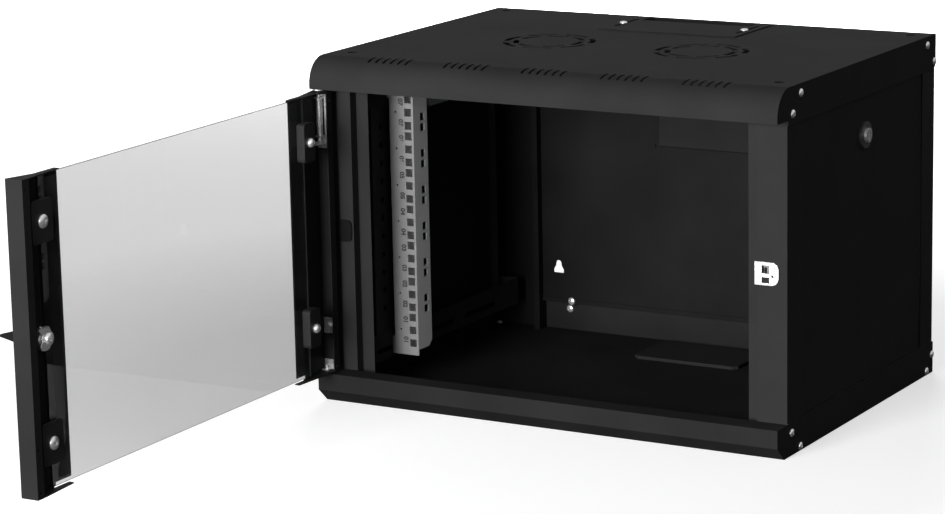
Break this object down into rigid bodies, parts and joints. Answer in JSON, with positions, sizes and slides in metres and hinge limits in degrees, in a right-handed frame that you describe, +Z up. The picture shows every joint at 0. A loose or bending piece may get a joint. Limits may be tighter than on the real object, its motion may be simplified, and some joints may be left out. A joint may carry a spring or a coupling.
{
  "type": "wall mount network cabinet",
  "caption": "Wall-mount network cabinet with a glass front door, sliding rack rails, removable side panels with locks, vented roof and cable entry plates.",
  "frame": {"origin": "middle of the underside of the floor, between the front and rear faces", "axes": "+X to the right seen from the front, +Y to the rear wall side, +Z up"},
  "size_m": [0.6389, 1.0305, 0.4201],
  "materials": {
    "black_powder_coat": "satin fine texture",
    "black_plastic": "matt",
    "rubber_pad": "matt",
    "clear_glass": "clear",
    "zinc_plated_steel": "zinc plated",
    "grey_plastic": "satin"
  },
  "bodies": {
    "cabinet": {"top_cover": "black_powder_coat", "bottom_cover": "black_powder_coat", "front_post_left": "black_powder_coat", "front_post_right": "black_powder_coat", "rear_post_left": "black_powder_coat", "rear_post_right": "black_powder_coat", "brace_lower_left": "black_powder_coat", "brace_lower_right": "black_powder_coat", "brace_upper_left": "black_powder_coat", "brace_upper_right": "black_powder_coat", "depth_strip_left": "black_powder_coat", "depth_strip_right": "black_powder_coat", "rear_panel": "black_powder_coat", "rear_cable_plate": "black_powder_coat", "floor_cable_plate": "black_powder_coat", "post_pad": "black_plastic", "lower_hinge_pin": "zinc_plated_steel", "strike_plate": "zinc_plated_steel", "top_plate_screws": "zinc_plated_steel", "strike_screws": "zinc_plated_steel", "earth_bolts": "zinc_plated_steel", "rear_panel_screws": "zinc_plated_steel", "cover_screws": "zinc_plated_steel"},
    "door": {"hinge_profile": "black_powder_coat", "lock_profile": "black_powder_coat", "glass_panel": "clear_glass", "glass_pad_hinge": "rubber_pad", "glass_pad_lock": "rubber_pad", "hinge_clamp_lower": "black_plastic", "hinge_clamp_upper": "black_plastic", "lock_clamp_lower": "black_plastic", "lock_clamp_upper": "black_plastic", "hinge_bracket": "zinc_plated_steel", "hinge_spring": "zinc_plated_steel", "hinge_washer": "zinc_plated_steel", "lower_hinge_angle": "zinc_plated_steel", "earth_lug": "zinc_plated_steel", "door_lock_body": "zinc_plated_steel", "door_lock_nut": "zinc_plated_steel", "clamp_screws": "zinc_plated_steel"},
    "hinge_pin": {"hinge_pin": "zinc_plated_steel"},
    "door_lock": {"door_lock_core": "zinc_plated_steel", "door_lock_claw": "zinc_plated_steel", "claw_screw": "zinc_plated_steel", "door_key": "black_plastic"},
    "top_plate": {"top_cable_plate": "black_powder_coat"},
    "side_panel_left": {"side_panel_left": "black_powder_coat", "side_lock_body_left": "grey_plastic"},
    "side_lock_left": {"side_lock_core_left": "zinc_plated_steel", "side_lock_cam_left": "zinc_plated_steel"},
    "rail_left": {"rail_left": "zinc_plated_steel", "rail_bolts_left": "zinc_plated_steel", "rail_nuts_left": "zinc_plated_steel"},
    "side_panel_right": {"side_panel_right": "black_powder_coat", "side_lock_body_right": "grey_plastic"},
    "side_lock_right": {"side_lock_core_right": "zinc_plated_steel", "side_lock_cam_right": "zinc_plated_steel"},
    "rail_right": {"rail_right": "zinc_plated_steel", "rail_bolts_right": "zinc_plated_steel", "rail_nuts_right": "zinc_plated_steel"}
  },
  "joints": [
    {"name": "door_hinge", "type": "hinge", "parent": "cabinet", "child": "door", "pos_m": [-0.2925, -0.216, 0.2], "axis": [0, 0, 1], "range_deg": [-60, 89.3]},
    {"name": "hinge_pin_slide", "type": "slide", "parent": "door", "child": "hinge_pin", "axis": [0, 0, 1], "range_m": [-0.008, 0], "stiffness_N_per_m": 500, "springref_m": 0.02, "deforming": ["hinge_spring"]},
    {"name": "door_lock_turn", "type": "hinge", "parent": "door", "child": "door_lock", "pos_m": [-0.28571, -0.77196, 0.2045], "axis": [0.9999, 0.0122, 0], "range_deg": [0, 90]},
    {"name": "top_plate_slide", "type": "slide", "parent": "cabinet", "child": "top_plate", "axis": [0, 1, 0], "range_m": [-0.038, 0.007]},
    {"name": "side_panel_tilt_left", "type": "hinge", "parent": "cabinet", "child": "side_panel_left", "pos_m": [-0.297, 0, 0.0385], "axis": [0, -1, 0], "range_deg": [0, 25]},
    {"name": "side_lock_turn_left", "type": "hinge", "parent": "side_panel_left", "child": "side_lock_left", "pos_m": [-0.29, 0.0175, 0.328], "axis": [1, 0, 0], "range_deg": [0, 90]},
    {"name": "rail_slide_left", "type": "slide", "parent": "cabinet", "child": "rail_left", "axis": [0, 1, 0], "range_m": [-0.045, 0.024]},
    {"name": "side_panel_tilt_right", "type": "hinge", "parent": "cabinet", "child": "side_panel_right", "pos_m": [0.297, 0, 0.0385], "axis": [0, 1, 0], "range_deg": [0, 25]},
    {"name": "side_lock_turn_right", "type": "hinge", "parent": "side_panel_right", "child": "side_lock_right", "pos_m": [0.29, 0.0175, 0.328], "axis": [1, 0, 0], "range_deg": [0, 90]},
    {"name": "rail_slide_right", "type": "slide", "parent": "cabinet", "child": "rail_right", "axis": [0, 1, 0], "range_m": [-0.045, 0.024]}
  ]
}
